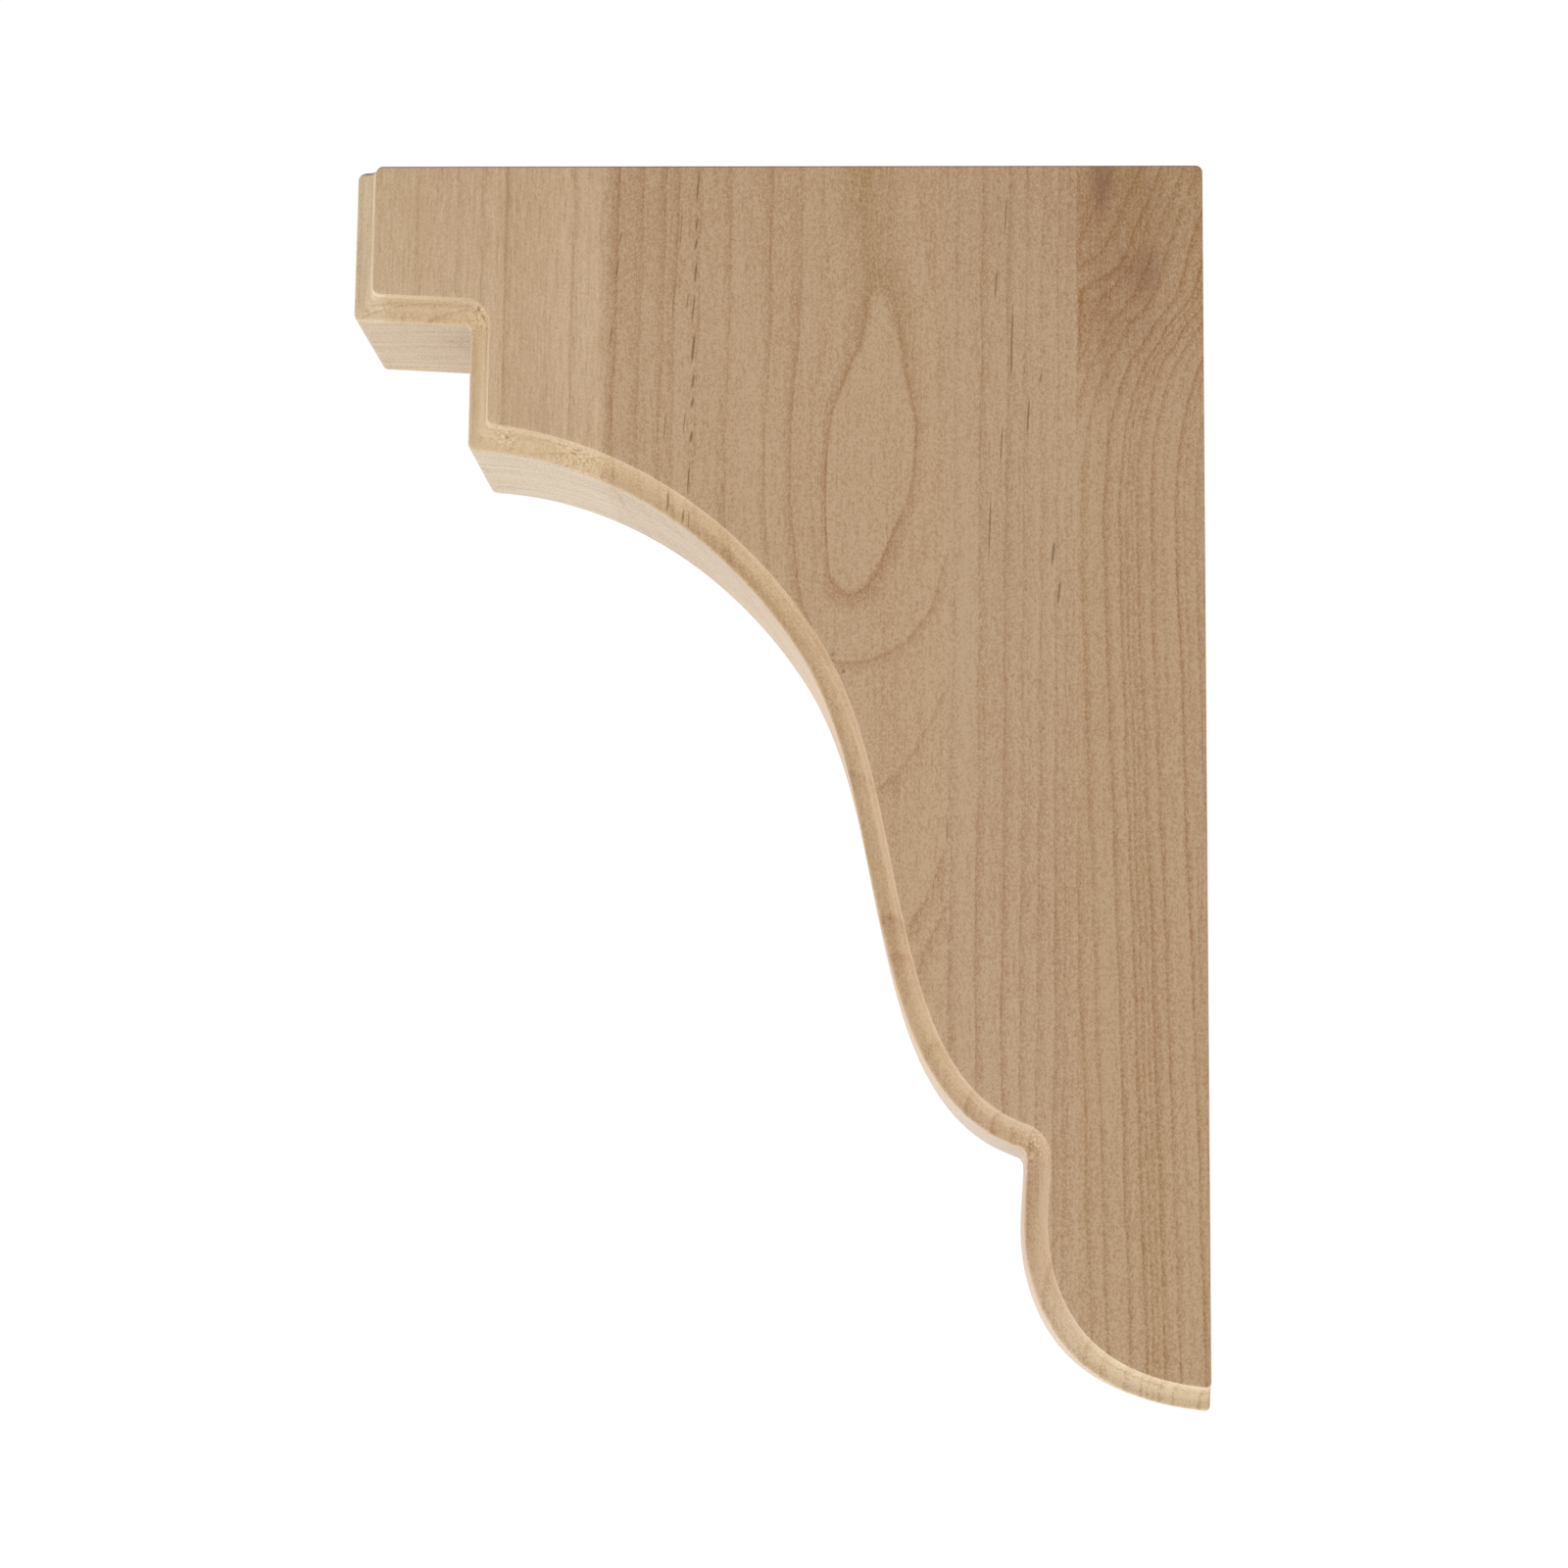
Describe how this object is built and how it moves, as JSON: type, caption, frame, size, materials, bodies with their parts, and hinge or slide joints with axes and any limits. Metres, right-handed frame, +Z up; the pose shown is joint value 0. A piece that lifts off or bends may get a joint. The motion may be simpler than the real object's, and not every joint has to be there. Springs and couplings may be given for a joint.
{
  "type": "wooden corbel bracket",
  "caption": "Solid hardwood corbel bracket: square lip and step over a long S-shaped hollow, a notch and a rounded foot, with a cove along both edges of the shaped side.",
  "frame": {"origin": "middle of the flat back that goes against the wall, half way up it", "axes": "+X out of the back into the wall, so the bracket reaches out along -X; +Z up; Y across the thickness"},
  "size_m": [0.2465, 0.066, 0.355],
  "materials": {
    "maple": "bare, smoothly sanded, unfinished"
  },
  "bodies": {
    "root": {"corbel_bracket": "maple"}
  },
  "joints": []
}
